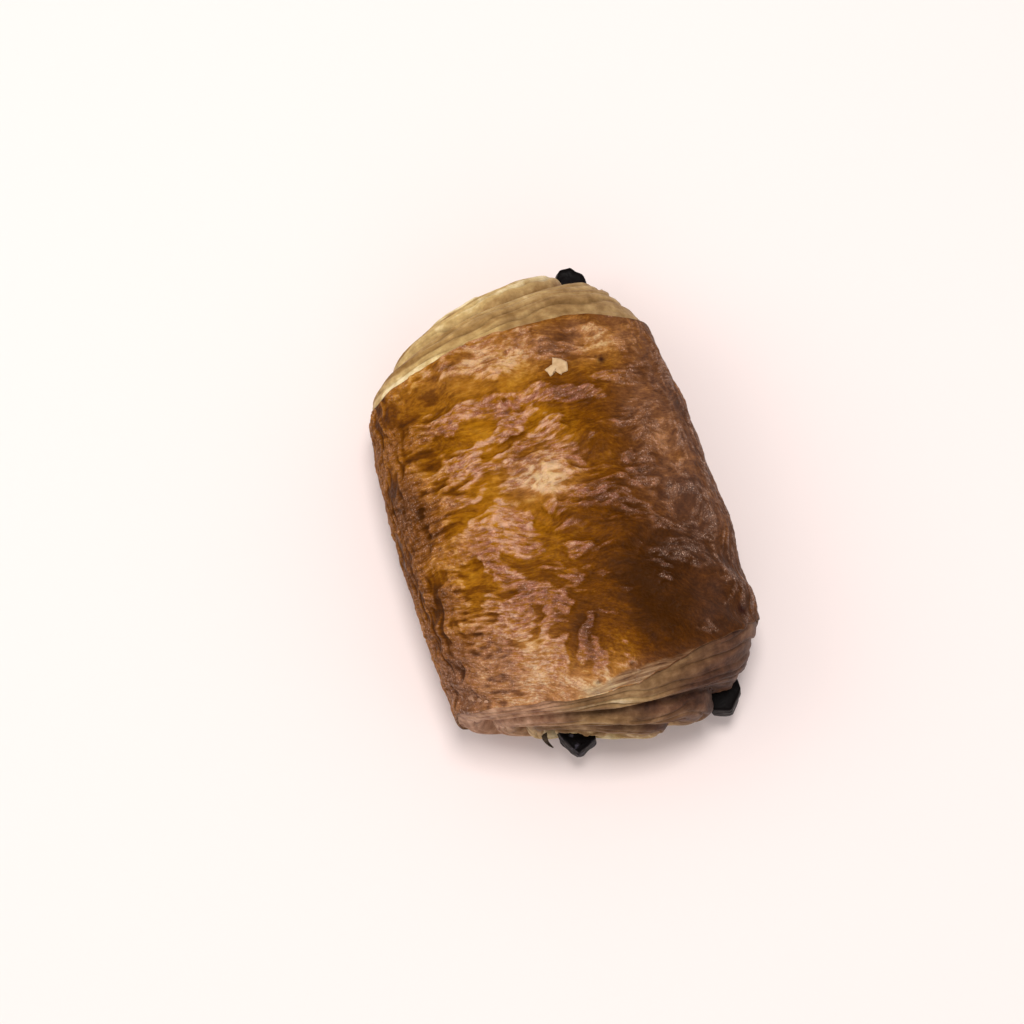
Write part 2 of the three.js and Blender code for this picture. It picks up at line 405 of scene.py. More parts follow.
# How far each kind of relief stands out of the crust, in millimetres
RIDGE_RELIEF = 0.55
CRINKLE_RELIEF = 0.28
GRAIN_RELIEF = 0.14
STROKE_RELIEF = 0.24
LUMP_RELIEF = 0.3
WRINKLE_RELIEF = 0.15
FLANK_RELIEF = 0.22
RELIEF_SUNK = 0.4


def wrinkled(along, across, layer):
    total = 0
    for i, (length, pitch, height) in enumerate(WRINKLES):
        total = total + height * noise(along / length, across / pitch, layer + i)
    return total


def crinkled(along, across, layer):
    """Thin creased crests, from about -1 in the creases to 1 on the crests."""
    return 1 - 2.6 * np.abs(noise(along / CRINKLE[0], across / CRINKLE[1], layer))


def blurred(field, rounds):
    """A field of the crust's grid, averaged with its neighbours over and over."""
    for _ in range(rounds):
        field = (field + np.roll(field, 1, axis=1) + np.roll(field, -1, axis=1)) / 3
        padded = np.pad(field, ((1, 1), (0, 0)), mode="edge")
        field = (padded[:-2] + padded[1:-1] + padded[2:]) / 3
    return field


def wrinkle_lines(y, girth):
    """Places along the wrinkles, across them, and down the flanks, each bent by noise."""
    lean = 0.75 * lean_at(y) - 0.12
    along = girth - lean * y + 1.6 * noise(girth / 10, y / 10, 3)
    across = y + lean * girth + 2.6 * noise(girth / 24, y / 24, 1) + 1.2 * noise(girth / 8, y / 8, 2)
    down = girth + 2.4 * noise(girth / 15, y / 15, 4) + 0.9 * noise(girth / 5, y / 5, 5)
    return along, across, down


def baked(x, y, girth, along, across, wrinkle):
    """How brown the crust is, partly from baking and partly as painted shade: more on the right flank, at
    the near end and in the left flank's creases.
    """
    sides = 0.2 + 0.4 * smooth(-2, 18, girth) + 0.1 * smooth(20, 42, girth) + 0.16 * smooth(-18, -40, girth)
    patchy = noise(girth / 11, y / 11, 23) + 0.5 * noise(along / 5, across / 2.2, 24)
    creases = smooth(-0.05, -0.4, wrinkle) * smooth(-12, -24, girth)
    return sides + spots(x, y, DARK) + 0.18 * patchy + 0.3 * creases


def rosy_sheen_at(x, y, girth):
    """How much painted rosy sheen the blistered ridges get: rosy on the crown and in one corner, and tan
    elsewhere.
    """
    sides = 0.75 * smooth(-17, -27, girth) + 0.45 * smooth(8, 26, girth) + 0.35 * smooth(24, 33, y)
    return 0.9 - sides + spot(x, y, ROSY_CORNER)


def dust_and_highlight_at(x, y, girth):
    """How dry and chalky the crust is, with a painted highlight on the crown, broken up into patches of
    about 4 mm.
    """
    chalky_share = spots(x, y, DUSTY_AND_HIGHLIGHT) + 0.5 * smooth(-34, -40, y)
    return chalky_share * (1 + 0.6 * noise(girth / 4, y / 4, 25))


def bared(x, y, girth):
    """Where the egg wash missed the crown's near edge."""
    line = BARE_LINE + 0.8 * ripple(girth, 9, 45) + 0.4 * ripple(girth, 2.5, 46)
    return smooth(0.4, -0.4, y - line) * smooth(-12, -4, x)


def crust_finish(x, y, z, girth):
    """Fine relief in millimetres, the fields that colour the crust, and the wrinkles' own coordinates."""
    flank = smooth(25, 36, np.abs(girth))
    along, across, down = wrinkle_lines(y, girth)
    wrinkle = mix(wrinkled(along, across, 10), wrinkled(y, down, 14), flank)
    crinkle = mix(crinkled(along, across, 18), crinkled(y, down, 19), flank)
    stroke = stroke_field(x, y)
    blistered = spots(x, y, BLISTERED) - 0.22 * smooth(2, 14, girth) + 0.2 * smooth(28, 40, girth)
    raised = smooth(-0.3, 0.2, wrinkle + stroke + blistered)
    lumps = noise(girth / 8, y / 7, 20)
    grain = noise(girth / 1.3, y / 1.2, 21)
    flat = spot(x, y, FLAT_CORNER)
    calm = 1 - 0.6 * smooth(12, 28, girth) - 0.3 * smooth(-24, -34, girth) - 0.45 * flat
    relief = (
        calm * raised * (RIDGE_RELIEF + CRINKLE_RELIEF * crinkle + GRAIN_RELIEF * grain)
        + calm * WRINKLE_RELIEF * noise(along / 3.4, across / 1.15, 26)
        + STROKE_RELIEF * np.clip(stroke, -1, 1)
        + LUMP_RELIEF * lumps
        + FLANK_RELIEF * flank * noise(y / 9, down / 3, 22)
        - RELIEF_SUNK
    )
    # Painted light and shade: lighter on crests and darker in creases, from the relief against its blur and
    # on higher lumps, with a painted highlight on the crown
    relief_shading = 1.9 * (1 - 0.5 * flat) * (relief - blurred(relief, 12)) + 0.25 * lumps + spot(x, y, CROWN_HIGHLIGHT)
    char = np.clip(spots(x, y, CHARS), 0, 1)
    fields = dict(
        raised=raised,
        bake=np.clip(baked(x, y, girth, along, across, wrinkle), 0, 1),
        rosy_sheen=np.clip(rosy_sheen_at(x, y, girth), 0, 1),
        dust_and_highlight=np.clip(dust_and_highlight_at(x, y, girth), 0, 1),
        relief_shading=np.clip(relief_shading, -1, 1),
        char=char,
        cut=bared(x, y, girth),
    )
    strands = np.stack([along, across, np.zeros_like(x)], axis=-1)
    return relief * smooth(3, 14, z) - CHAR_DEPTH * char, fields, strands


# Making pieces
def clear_selection():
    if bpy.context.object and bpy.context.object.mode != "OBJECT":
        bpy.ops.object.mode_set(mode="OBJECT")
    bpy.ops.object.select_all(action="DESELECT")


def name_piece(name):
    piece = bpy.context.object
    piece.name = name
    piece.data.name = name
    return piece


def add_modifier(piece, kind, **settings):
    """Adds a modifier and applies it."""
    bpy.context.view_layer.objects.active = piece
    modifier = piece.modifiers.new(kind.lower(), kind)
    for setting, value in settings.items():
        setattr(modifier, setting, value)
    bpy.ops.object.modifier_apply(modifier=modifier.name)


MERGE_DISTANCE = 2e-6  # metres


def sheet_piece(name, points, fields, strands):
    """A flat grid rolled up into a closed skin: rows run along the roll and columns close under the base."""
    rows, columns = points.shape[:2]
    clear_selection()
    bpy.ops.mesh.primitive_grid_add(x_subdivisions=columns, y_subdivisions=rows - 1, size=2)
    piece = name_piece(name)
    mesh = piece.data
    flat = np.empty(len(mesh.vertices) * 3)
    mesh.vertices.foreach_get("co", flat)
    flat = flat.reshape(-1, 3)
    column = np.rint((flat[:, 0] + 1) / 2 * columns).astype(int) % columns
    row = np.rint((flat[:, 1] + 1) / 2 * (rows - 1)).astype(int)
    mesh.vertices.foreach_set("co", placed(points[row, column]).ravel())
    for field, values in fields.items():
        layer = mesh.attributes.new(field, "FLOAT", "POINT")
        layer.data.foreach_set("value", values[row, column].astype(np.float32))
    layer = mesh.attributes.new("strand", "FLOAT_VECTOR", "POINT")
    layer.data.foreach_set("vector", strands[row, column].astype(np.float32).ravel())
    bpy.ops.object.mode_set(mode="EDIT")
    bpy.ops.mesh.select_all(action="SELECT")
    bpy.ops.mesh.remove_doubles(threshold=MERGE_DISTANCE)
    bpy.ops.mesh.normals_make_consistent(inside=False)
    bpy.ops.object.mode_set(mode="OBJECT")
    bpy.ops.object.shade_smooth()
    return piece


def padded_rows(field, before, after):
    """A field with its first and last rows repeated."""
    return np.pad(field, [(before, after)] + [(0, 0)] * (field.ndim - 1), mode="edge")


# The crust: the sheet's outer face, whose thin edge turns in where it stops at either end
LIP_ROWS = 6
LIP_TURN = 0.85 * math.pi
LIP_RADIUS = 0.28
TUCK_SHARES = (0.93, 0.7, 0.4, 0.0)
TUCK_DEPTH = 3
MOST_SUNK = 0.5  # the most that the relief sinks, and at the rims it only rises


def crust_form(angles, girth):
    """The crust's points before its fine relief, and how far along the roll each row is, from -1 to 1."""
    share = np.linspace(-1, 1, CRUST_ROWS)[:, None]
    angle = np.broadcast_to(angles, (CRUST_ROWS, CRUST_COLUMNS))
    far = share > 0
    near_edge = crust_edge(NEAR_END, angle) + 1.0 * ripple(girth, 16, 41) + 0.5 * ripple(girth, 4, 42)
    far_edge = crust_edge(FAR_END, angle) + 0.6 * ripple(girth, 16, 43) + 0.25 * ripple(girth, 4, 44)
    taper = np.abs(share) ** TAPER_POWER
    narrow = 1 - np.where(far, FAR_END["narrowing"], NEAR_END["narrowing"]) * taper
    lower = 1 - np.where(far, FAR_END["lowering"], NEAR_END["lowering"]) * taper
    y = np.abs(share) * np.where(far, far_edge, near_edge)
    x = skin_radius(angle) * np.cos(angle) * narrow
    rise = skin_radius(angle) * np.sin(angle) * np.where(np.sin(angle) > 0, lower, 1)
    swell = 1 + fold_relief(x, y, WAIST + rise) / skin_radius(angle)
    seam = np.where(rise < 0, BASE_SEAM_DEPTH * hump(x, BASE_SEAM_WIDTH), 0)
    return np.stack([x * swell, y, np.maximum(0, WAIST + rise * swell) + seam], axis=-1), share


def lip_rows(rim, out, girth, end):
    """Rows of points that turn the crust's edge in and close the skin behind it."""
    lip = (LIP_RADIUS + 0.1 * ripple(girth, 5, 40))[:, None]
    forward = np.array([0, end["way"], 0])
    rows = []
    for i in range(1, LIP_ROWS + 1):
        curl = LIP_TURN * i / LIP_ROWS
        rows.append(rim + forward * lip * np.sin(curl) - out * lip * (1 - np.cos(curl)))
    last = rows[-1]
    core = np.array([0, last[:, 1].mean(), WAIST])
    rows += [core + (last - core) * share - forward * TUCK_DEPTH for share in TUCK_SHARES]
    rows = np.array(rows)
    rows[..., 2] = np.maximum(rows[..., 2], 0)
    return rows


def make_crust():
    angles, girth = spread_angles(CRUST_COLUMNS)
    points, share = crust_form(angles, girth)
    normal = normals_of(points)
    around = np.broadcast_to(girth, points.shape[:2])
    relief, fields, strands = crust_finish(points[..., 0], points[..., 1], points[..., 2], around)
    relief = np.maximum(relief, -MOST_SUNK * smooth(1, 0.9, np.abs(share)))
    points = points + normal * relief[..., None]
    points[..., 2] = np.maximum(points[..., 2], 0)
    near_lip = lip_rows(points[0], normal[0], girth, NEAR_END)[::-1]
    far_lip = lip_rows(points[-1], normal[-1], girth, FAR_END)
    added = len(near_lip)
    fields = {name: padded_rows(field, added, added) for name, field in fields.items()}
    inwards = np.clip(np.arange(1, added + 1) / LIP_ROWS, 0, 1)[:, None]
    fields["cut"][:added] = inwards[::-1]
    fields["cut"][-added:] = inwards
    skin = np.concatenate([near_lip, points, far_lip])
    return sheet_piece("crust", skin, fields, padded_rows(strands, added, added))


# The ends: the coiled sheet seen edge on
LEAVES = 5  # that show in each turn of the sheet
LEAF_PUFF = 0.32
LEAF_STAND = 0.5  # how far one leaf stands out further than the next
LEAF_GAP = 0.55  # how deep two leaves part where they part most
LEAF_GAP_WIDTH = 0.1
LEAF_STEP = 5.31  # how far apart two leaves' noise is read
LINE_STEP = 3.7  # how far apart two lines' noise is read
TURN_PUFF = 0.9
PUFF_LEVEL = 0.7  # of a puff, where the face lies
RIM_INSET = 0.975
WRAPPED_INSET = 0.984  # where the crust wraps round on to the end
RIM_TUCK = (0.4, 1.2, 2.4, 4)
BACK_SHARES = (0.75, 0.4, 0.0)
COIL_LENGTH = 120  # of a turn, in the leaves' own coordinates
STICK_DENT = 0.5


def wrapped(end, x):
    """Where the crust wraps round on to an end: at the near end's left."""
    return smooth(-9, -19, x) * (end is NEAR_END)


def coil_layout(end, angle, share):
    """Each point's place in the coil: along the sheet, across it, from a seam, and on which leaf."""
    turns = (BASE_ANGLE - angle) / TURN
    wound = turns - np.floor(turns)
    first_seam = 1 - TURN_PITCH * (wound + TAIL_THICKNESS)
    outer = share >= first_seam
    depth = (first_seam - share) / TURN_PITCH
    turn_number = np.where(outer, 0, np.floor(depth) + 1)
    across = np.where(outer, (1 - share) / (1 - first_seam), depth % 1)
    to_seam = np.where(outer, 1 - across, np.minimum(across, 1 - across))
    along = (wound + turn_number) * COIL_LENGTH
    leaf = across * LEAVES * np.where(outer, (1 - first_seam) / TURN_PITCH, 1)
    leaf = leaf + turn_number * LEAVES * 3  # so that two turns share no leaf
    layer = end["layer"]
    leaf = leaf + 1.5 * noise(along / 24, leaf / 6, layer) + 0.5 * noise(along / 7, leaf / 2, layer + 1)
    return SimpleNamespace(along=along, across=across, to_seam=to_seam, leaf=leaf, share=share)


def leaf_detail(end, coil):
    """How far each leaf stands out, the lines where two leaves part, and the leaves' fibres."""
    layer = end["layer"]
    below = np.floor(coil.leaf)
    within = coil.leaf - below
    stand = noise(coil.along / 14, below * LEAF_STEP + 0.5, layer + 2)
    stand_next = noise(coil.along / 14, (below + 1) * LEAF_STEP + 0.5, layer + 2)
    stand = mix(stand, stand_next, smooth(0.72, 1, within))
    parted = 0.45 + 0.9 * noise(coil.along / 11, np.rint(coil.leaf) * LINE_STEP, layer + 3)
    line = hump(np.minimum(within, 1 - within), LEAF_GAP_WIDTH) * np.clip(parted, 0, 1)
    fine = noise(coil.along / 7, coil.leaf * 3.2, layer + 4)
    return stand, line, fine


def coil_relief(end, coil, stand, line, fine):
    """Relief of an end's face, in millimetres."""
    within = coil.leaf - np.floor(coil.leaf)
    puff = 1 - np.abs(2 * within - 1) ** 2.4
    turn_puff = 1 - np.abs(2 * coil.across - 1) ** 2.2
    hair = noise(coil.along / 4, coil.leaf * 7.5, end["layer"] + 5)
    relief = LEAF_PUFF * (puff - PUFF_LEVEL) + LEAF_STAND * stand - LEAF_GAP * line
    relief = relief + 0.1 * fine + 0.03 * hair
    relief = relief + TURN_PUFF * (turn_puff - PUFF_LEVEL) - SEAM_DEPTH * hump(coil.to_seam, SEAM_WIDTH)
    fade = np.clip(coil.share * 8, 0, 1) * smooth(1.0, 0.95, coil.share)
    return relief * fade


def coil_colours(end, coil, x, z, stand, line, fine):
    """The fields that colour an end's face, from 0 to 1."""
    near = end is NEAR_END
    along, leaf, layer = coil.along, coil.leaf, end["layer"]
    inner = smooth(0.95, 0.35, coil.share)
    sheltered = inner * (1 - smooth(9, 20, z)) if near else inner
    # A painted highlight on the near end's outer leaves, a little right of the middle
    near_highlight = hump(x - 6, 10) * smooth(0.72, 0.85, coil.share) * near
    bands = 0.35 * noise(along / 30, leaf / 1.6, layer + 7) + 0.15 * noise(along / 5, leaf / 1.2, layer + 8)
    pale = 0.4 + 0.55 * sheltered + 0.14 * near_highlight + bands + 0.08 * fine - 0.15 * stand
    # Painted shade in part: the near end's face darker towards the right
    pale = pale - 0.25 * hump(coil.to_seam, SEAM_WIDTH) - 0.26 * smooth(-4, 24, x) * near
    # Painted shade in part: browner towards the right, and the near end browner than the far
    bake = end["baked"] + 0.35 * smooth(-8, 30, x) - end["less_inside"] * sheltered - 0.16 * near_highlight
    bake = bake + 0.25 * hump(coil.to_seam, 0.22) * inner + 0.18 * noise(along / 18, leaf / 3, layer + 6)
    return dict(
        pale=np.clip(pale, 0, 1),
        bake=np.clip(bake, 0, 1),
        line=np.clip(line * end["lines"], 0, 1),
        crusted=wrapped(end, x) * smooth(0.4, 0.75, coil.share),
    )


def stick_dent(end, x, z):
    """How far the dough draws back round the sticks."""
    dent = 0
    for stick in STICKS.values():
        at = stick["near_x"] if end is NEAR_END else stick["far_x"]
        off_x = np.abs(x - at) / (STICK_WIDTH / 2)
        off_z = np.abs(z - STICK_LEVEL) / (STICK_HEIGHT / 2)
        off = (off_x**4 + off_z**4) ** 0.25
        dent = dent + hump(np.maximum(off - 1, 0), 0.3)
    return STICK_DENT * np.clip(dent, 0, 1)


def bulged(end, x, z):
    """How far along the roll an end's face lies: it bulges out past the crust's edge."""
    share, angle = share_out(x, z, end["bulge_x"], BULGE_HEIGHT, BULGE_DRIFT)
    turn = mix(end["left_turn"], end["right_turn"], (1 + np.cos(angle)) / 2)
    return mix(end["bulge"], crust_edge(end, angle), np.minimum(1, share) ** turn)


def make_coil(name, end):
    angles, _ = spread_angles(FACE_COLUMNS)
    inset = mix(RIM_INSET, WRAPPED_INSET, wrapped(end, skin_radius(angles) * np.cos(angles)))
    share = np.linspace(0, 1, FACE_ROWS)[:, None] * inset
    angle = np.broadcast_to(angles, share.shape)
    inwards = (1 - share) ** CORE_DRIFT
    x = end["core_x"] * inwards + share * skin_radius(angle) * np.cos(angle)
    z = mix(WAIST, STICK_LEVEL, inwards) + share * skin_radius(angle) * np.sin(angle)
    y = bulged(end, x, z)
    coil = coil_layout(end, angle, share)
    detail = leaf_detail(end, coil)
    relief = coil_relief(end, coil, *detail)
    fields = coil_colours(end, coil, x, z, *detail)
    strands = np.stack([coil.along, coil.leaf, np.zeros_like(coil.leaf)], axis=-1)
    x = x * (1 - end["narrowing"])
    z = np.maximum(0, WAIST + (z - WAIST) * np.where(z > WAIST, 1 - end["lowering"], 1))
    points = np.stack([x, y, z], axis=-1)
    normal = normals_of(points) * -end["way"]
    normal[0] = (0, end["way"], 0)
    points = points + normal * relief[..., None]
    points[..., 1] -= end["way"] * stick_dent(end, x, z)
    points[..., 2] = np.maximum(points[..., 2], 0)
    points[0] = points[0].mean(axis=0)
    rim = points[-1]
    extra = [rim - np.array([0, end["way"] * tuck, 0]) for tuck in RIM_TUCK]
    middle = extra[-1].mean(axis=0)
    extra += [middle + (extra[-1] - middle) * back for back in BACK_SHARES]
    added = len(extra)
    fields = {field: padded_rows(values, 0, added) for field, values in fields.items()}
    skin = np.concatenate([points, np.array(extra)])
    return sheet_piece(name, skin, fields, padded_rows(strands, 0, added))


# Chocolate sticks: a bar whose tips broke off at a slant. Each cut is a point of it and the way it faces.
TIP_CUTS = {
    "chocolate_left": (
        ((-12.8, -46.6), (-0.87, -0.5)),
        ((-9.4, -48.0), (0.4, -0.9)),
        ((-14, 53.0), (-0.45, 0.9)),
    ),
    "chocolate_right": (
        ((21.5, -49.6), (-0.3, -0.95)),
        ((25.6, -47.8), (0.75, -0.66)),
        ((17.6, 56.2), (-0.8, 0.6)),
        ((20.2, 57.4), (0, 1)),
        ((22.4, 56.2), (0.8, 0.6)),
    ),
}
CUT_TILT = 0.12
STICK_BEVEL = 1.2
STICK_RINGS = (2.5, 3.9, 6, 9.5, 15.5, 25.5, 39.5)  # from a tip, where the bar gets a ring of edges
LUMP_SIZE = 2.0
LUMP_HEIGHT = 0.5


def make_stick(name):
    stick = STICKS[name]
    length = stick["far_y"] - stick["near_y"]
    middle_x, middle_y = (stick["near_x"] + stick["far_x"]) / 2, (stick["near_y"] + stick["far_y"]) / 2
    middle = placed(np.array([middle_x, middle_y, STICK_LEVEL]))
    slant = (stick["far_x"] - stick["near_x"]) / length
    clear_selection()
    bpy.ops.mesh.primitive_cube_add(size=1, location=middle)
    bar = name_piece(name + "_bar")
    bar.scale = np.array([STICK_WIDTH, length, STICK_HEIGHT]) * MM
    bpy.ops.object.transform_apply(location=True, rotation=True, scale=True)
    for vertex in bar.data.vertices:
        vertex.co.x += slant * (vertex.co.y - middle[1])
    bpy.ops.object.mode_set(mode="EDIT")
    for (x, y), (out_x, out_y) in TIP_CUTS[name]:
        bpy.ops.mesh.select_all(action="SELECT")
        at = placed(np.array([x, y, STICK_LEVEL]))
        out = (out_x, out_y, CUT_TILT)
        bpy.ops.mesh.bisect(plane_co=at, plane_no=out, use_fill=True, clear_outer=True)
    bpy.ops.mesh.select_all(action="SELECT")
    bpy.ops.mesh.bevel(offset=STICK_BEVEL * MM, segments=3, affect="EDGES", clamp_overlap=True)
    for step in STICK_RINGS:
        for y in (stick["near_y"] + step, stick["far_y"] - step):
            bpy.ops.mesh.select_all(action="SELECT")
            bpy.ops.mesh.bisect(plane_co=placed(np.array([middle_x, y, STICK_LEVEL])), plane_no=(0, 1, 0))
    bpy.ops.object.mode_set(mode="OBJECT")
    add_modifier(bar, "SMOOTH", factor=0.5, iterations=2)
    add_modifier(bar, "SUBSURF", levels=2, render_levels=2)
    lumps = bpy.data.textures.new(name + "_lumps", "CLOUDS")
    lumps.noise_scale = LUMP_SIZE * MM
    height = LUMP_HEIGHT * MM
    add_modifier(bar, "DISPLACE", texture=lumps, strength=height, mid_level=0.55, texture_coords="LOCAL")
    bpy.ops.object.shade_smooth()
    return bar


# A loose scrap that lies on the crust
FLECK_AT = (8.5, 28.6)
FLECK_RIM = (
    (-2.8, 0.1), (-0.9, 0.8), (-0.4, 2.3), (1.3, 1.5), (2.3, 0.4),
    (1.9, -1.4), (0.2, -2.0), (-0.8, -0.8), (-2.2, -1.7), (-2.4, -0.6),
)
FLECK_THICKNESS = 0.25
FLECK_LIFT = 0.3
FLECK_WARP = 0.12


def on_crust(crust, x, y):
    """Where a plumb line meets the crust, in millimetres of the roll's frame."""
    start = placed(np.array([x, y, HEIGHT + 10.0]))
    _, place, _, _ = crust.ray_cast(start, (0, 0, -1))
    return np.array(place) / MM - MIDDLE


def make_fleck(crust):
    """A pale papery scrap of dough that the egg wash left bare."""
    clear_selection()
    bpy.ops.mesh.primitive_circle_add(vertices=len(FLECK_RIM), radius=1, fill_type="TRIFAN")
    fleck = name_piece("pale_fleck")
    rim = [vertex for vertex in fleck.data.vertices if vertex.co.length > 0.5]
    rim.sort(key=lambda vertex: -math.atan2(vertex.co.y, vertex.co.x))
    for vertex, corner in zip(rim, FLECK_RIM):
        vertex.co = (corner[0], corner[1], 0)
    bpy.ops.object.mode_set(mode="EDIT")
    bpy.ops.mesh.select_all(action="SELECT")
    bpy.ops.mesh.subdivide(number_cuts=3, fractal=0.6, seed=3)
    bpy.ops.object.mode_set(mode="OBJECT")
    for vertex in fleck.data.vertices:
        x, y = FLECK_AT[0] + vertex.co.x, FLECK_AT[1] + vertex.co.y
        lift = FLECK_LIFT + FLECK_WARP * math.sin(3 * x) * math.cos(2.3 * y)
        vertex.co = placed(on_crust(crust, x, y) + np.array([0, 0, lift]))
    add_modifier(fleck, "SOLIDIFY", thickness=FLECK_THICKNESS * MM, offset=-1)
    bpy.ops.object.shade_smooth()
    return fleck


# A splinter of the outermost leaf that hooks out of the near end's rim
SPLINTER_ROOT = (-17.2, -42.0, 13.5)
SPLINTER_TIP = (-16.2, -45.2, 12.0)
SPLINTER_RADIUS = 0.75
SPLINTER_TIP_RADIUS = 0.15
SPLINTER_HOOK = 0.5
SPLINTER_FLATNESS = 0.6


def make_splinter():
    root, tip = np.array(SPLINTER_ROOT), np.array(SPLINTER_TIP)
    length = np.linalg.norm(tip - root)
    clear_selection()
    bpy.ops.mesh.primitive_cone_add(
        vertices=7, radius1=SPLINTER_RADIUS, radius2=SPLINTER_TIP_RADIUS, depth=length
    )
    splinter = name_piece("scorched_splinter")
    bpy.ops.object.mode_set(mode="EDIT")
    bpy.ops.mesh.select_all(action="SELECT")
    bpy.ops.mesh.subdivide(number_cuts=3, fractal=0.5, seed=2)
    bpy.ops.object.mode_set(mode="OBJECT")
    run = (tip - root) / length
    side = np.cross(run, (0, 0, 1))
    side = side / np.linalg.norm(side)
    up = np.cross(side, run)
    for vertex in splinter.data.vertices:
        along = vertex.co.z / length + 0.5
        sideways = vertex.co.x + SPLINTER_HOOK * math.sin(math.pi * along)
        point = root + run * along * length + side * sideways + up * vertex.co.y * SPLINTER_FLATNESS
        vertex.co = placed(point)
    bpy.ops.object.shade_smooth()
    return splinter


# Materials
def linear(colour):
    """An sRGB hex colour as linear red, green, blue and alpha."""
    parts = [int(colour[i : i + 2], 16) / 255 for i in (0, 2, 4)]
    parts = [part / 12.92 if part <= 0.04045 else ((part + 0.055) / 1.055) ** 2.4 for part in parts]
    return (*parts, 1.0)


def add_node(material, kind, inputs=(), out=0, stops=(), **settings):
    """Adds a node with its settings and its inputs: values, hex colours or links. Gives one output."""
    made = material.node_tree.nodes.new("ShaderNode" + kind)
    for setting, value in settings.items():
        setattr(made, setting, value)
    for place, (position, colour) in enumerate(stops):
        ramp = made.color_ramp.elements
        stop = ramp[place] if place < len(ramp) else ramp.new(position)
        stop.position = position
        stop.color = linear(colour)
    for socket, value in dict(inputs).items():
        if isinstance(value, bpy.types.NodeSocket):
            material.node_tree.links.new(value, made.inputs[socket])
        else:
            made.inputs[socket].default_value = linear(value) if isinstance(value, str) else value
    return made.outputs[out] if made.outputs else made


def new_material(name, surface):
    """A material of one Principled shader. surface(add) gives its inputs, and adds the nodes they need."""
    material = bpy.data.materials.new(name)
    material.use_nodes = True
    material.node_tree.nodes.clear()
    add = partial(add_node, material)
    add("OutputMaterial", {"Surface": add("BsdfPrincipled", surface(add))})
    return material


# The crust's colours, from the least to the most baked, with painted shade on the same scale
VARNISH = ((0.0, "ae7614"), (0.25, "915b08"), (0.5, "693a00"), (0.75, "4e2800"), (1.0, "3a1c00"))
# Painted sheen: these rosy colours stand for light reflected off the glossy ridges
ROSY_SHEEN = ((0.0, "cc997c"), (0.22, "9c5f49"), (0.45, "754432"), (0.7, "532d1e"), (1.0, "3a1f12"))
TAN = ((0.0, "cc9340"), (0.22, "a06416"), (0.45, "7e490b"), (0.7, "5a3208"), (1.0, "3c2008"))
CHALKY = ((0.0, "e4c898"), (0.25, "b07c50"), (0.5, "82573a"), (0.75, "5c3c2c"), (1.0, "432d24"))
TORN = ((0.0, "4e3320"), (0.4, "7e5d42"), (0.7, "a08260"), (1.0, "bda47c"))


def dried_film(add, raised, streaks):
    """Where a crumpled film of dried egg wash shows: on the ridges, broken up by the streaks."""
    film = add("MapRange", {0: streaks, 1: 0.38, 2: 0.6, 3: 0.08, 4: 0.95})
    film = add("Math", {0: raised, 1: film}, operation="MULTIPLY", use_clamp=True)
    return add("MapRange", {0: film, 1: 0.15, 2: 0.85, 3: 0.0, 4: 1.0})


def crust_tone(add, strand, streaks, bake):
    """How baked the crust looks, partly as painted shade, with its streaks and with ripples of about 1 mm by
    0.4 mm.
    """
    ripples = add("Mapping", {"Vector": strand, "Scale": (0.9, 2.4, 1)})
    ripples = add("TexNoise", {"Vector": ripples, "Scale": 1.0, "Detail": 3.0, "Roughness": 0.6})
    streaked = add("MapRange", {0: streaks, 1: 0.3, 2: 0.7, 3: 0.15, 4: -0.15})
    rippled = add("MapRange", {0: ripples, 1: 0.3, 2: 0.7, 3: 0.11, 4: -0.11})
    tone = add("Math", {0: bake, 1: streaked}, operation="ADD")
    return add("Math", {0: tone, 1: rippled}, operation="ADD")


def painted_glints(add, place, strand, film):
    """Painted glints, pale where light would catch the film: on rims of creases about 0.5 mm apart and on
    burst blisters of about 0.3 mm.
    """
    creases = add("Mapping", {"Vector": strand, "Scale": (1.1, 1.8, 1)})
    creases = add("TexNoise", {"Vector": creases, "Scale": 1.0, "Detail": 4.0, "Roughness": 0.7})
    creases = add("Math", {0: creases, 1: -0.5}, operation="ADD")
    creases = add("Math", {0: creases}, operation="ABSOLUTE")
    creases = add("MapRange", {0: creases, 1: 0.0, 2: 0.035, 3: 0.18, 4: 0.0})
    glint_spots = add("TexNoise", {"Vector": place, "Scale": 2.6 / MM, "Detail": 2.0, "Roughness": 0.6})
    glint_spots = add("MapRange", {0: glint_spots, 1: 0.58, 2: 0.68, 3: 0.0, 4: 0.6})
    painted_glint = add("Math", {0: creases, 1: glint_spots}, operation="MAXIMUM")
    return add("Math", {0: painted_glint, 1: film}, operation="MULTIPLY")


def torn_leaves(add, place, bake):
    """Bare leaves at the near edge: lines about 0.7 mm apart that run along it."""
    leaves = add("Mapping", {"Vector": place, "Scale": (0.12 / MM, 1.4 / MM, 0.7 / MM)})
    leaves = add("TexNoise", {"Vector": leaves, "Scale": 1.0, "Detail": 3.0, "Roughness": 0.6})
    leaves = add("MapRange", {0: leaves, 1: 0.3, 2: 0.7, 3: 0.2, 4: 1.1})
    torn = add("Math", {0: bake, 1: -0.45, 2: leaves}, operation="MULTIPLY_ADD", use_clamp=True)
    return add("ValToRGB", {0: torn}, stops=TORN)


